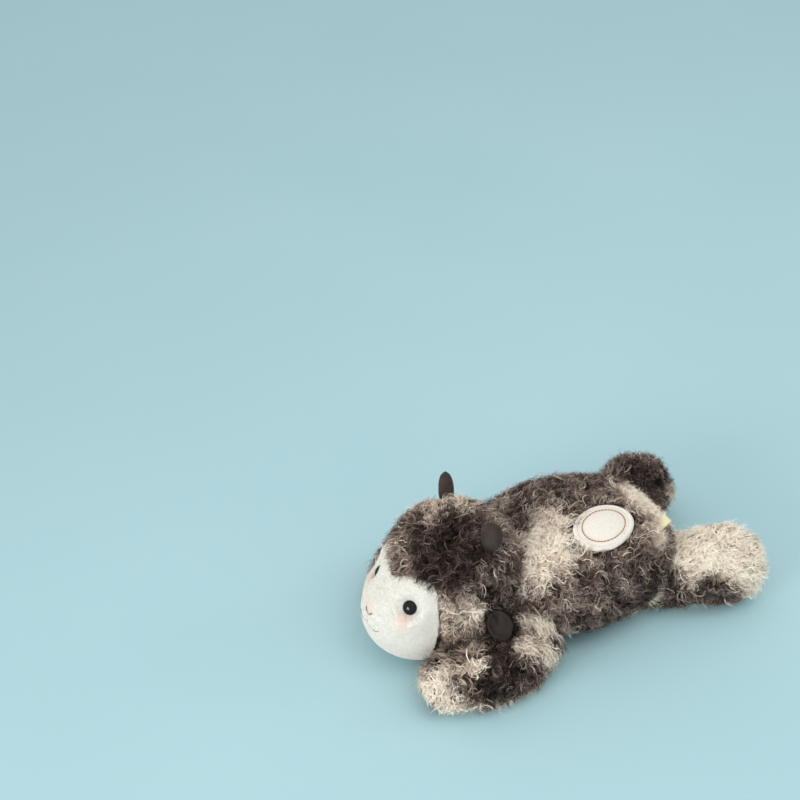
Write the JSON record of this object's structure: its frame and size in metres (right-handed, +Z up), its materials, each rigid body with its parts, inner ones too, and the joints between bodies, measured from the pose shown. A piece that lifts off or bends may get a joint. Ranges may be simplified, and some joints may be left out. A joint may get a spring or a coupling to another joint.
{
  "type": "plush sheep",
  "caption": "Lying plush sheep with curly pile, smooth face, domed eyes, suede horns and lined ears, sprawled flat on its belly.",
  "frame": {"origin": "middle of the belly's flat, on the surface that the sheep lies on", "axes": "+Z up out of the back, -Y the way the face looks, +X the sheep's left side"},
  "size_m": [0.2082, 0.3432, 0.1351],
  "materials": {
    "curly_pile": "curly mohair-like pile, dark brown to cream",
    "face_plush": "short smooth plush",
    "suede": "dark grey-brown imitation suede",
    "eye_gloss": "glossy black dome",
    "washer_plastic": "plain moulded plastic",
    "felt": "padded felt with a stitched edge",
    "satin": "woven satin ribbon"
  },
  "bodies": {
    "body": {"body": "curly_pile", "badge": "felt", "care_label": "satin"},
    "head": {"head": "curly_pile", "face_panel": "face_plush", "eye_left": "eye_gloss", "eye_right": "eye_gloss", "eye_washer_left": "washer_plastic", "eye_washer_right": "washer_plastic", "horn_left": "suede", "horn_right": "suede"},
    "ear_left": {"ear_left": "curly_pile", "ear_lining_left": "suede"},
    "ear_right": {"ear_right": "curly_pile", "ear_lining_right": "suede"},
    "foreleg_left": {"foreleg_left": "curly_pile"},
    "foreleg_right": {"foreleg_right": "curly_pile"},
    "hindleg_left": {"hindleg_left": "curly_pile"},
    "hindleg_right": {"hindleg_right": "curly_pile"},
    "tail": {"tail": "curly_pile"}
  },
  "joints": [
    {"name": "neck_nod", "type": "hinge", "parent": "body", "child": "head", "pos_m": [0, -0.058, 0.0658], "axis": [-1, 0, 0], "range_deg": [0, 25], "stiffness_Nm_per_rad": 0.4},
    {"name": "ear_left_flap", "type": "hinge", "parent": "head", "child": "ear_left", "pos_m": [0.0548, -0.1037, 0.06871], "axis": [-0.263, -0.8605, -0.4363], "range_deg": [-3, 45], "stiffness_Nm_per_rad": 0.01},
    {"name": "ear_right_flap", "type": "hinge", "parent": "head", "child": "ear_right", "pos_m": [-0.0548, -0.1037, 0.06871], "axis": [-0.263, 0.8605, 0.4363], "range_deg": [-3, 45], "stiffness_Nm_per_rad": 0.01},
    {"name": "foreleg_left_spread", "type": "hinge", "parent": "body", "child": "foreleg_left", "pos_m": [0.04, -0.053, 0.0215], "axis": [0, 0, 1], "range_deg": [0, 30], "stiffness_Nm_per_rad": 0.1},
    {"name": "foreleg_right_spread", "type": "hinge", "parent": "body", "child": "foreleg_right", "pos_m": [-0.04, -0.053, 0.0215], "axis": [0, 0, -1], "range_deg": [0, 30], "stiffness_Nm_per_rad": 0.1},
    {"name": "hindleg_left_spread", "type": "hinge", "parent": "body", "child": "hindleg_left", "pos_m": [0.031, 0.057, 0.0255], "axis": [0, 0, -1], "range_deg": [-8, 30], "stiffness_Nm_per_rad": 0.1},
    {"name": "hindleg_right_spread", "type": "hinge", "parent": "body", "child": "hindleg_right", "pos_m": [-0.031, 0.057, 0.0255], "axis": [0, 0, 1], "range_deg": [-8, 30], "stiffness_Nm_per_rad": 0.1},
    {"name": "tail_wag", "type": "hinge", "parent": "body", "child": "tail", "pos_m": [0, 0.085, 0.05], "axis": [0, 1, 0], "range_deg": [-20, 20], "stiffness_Nm_per_rad": 0.01}
  ]
}
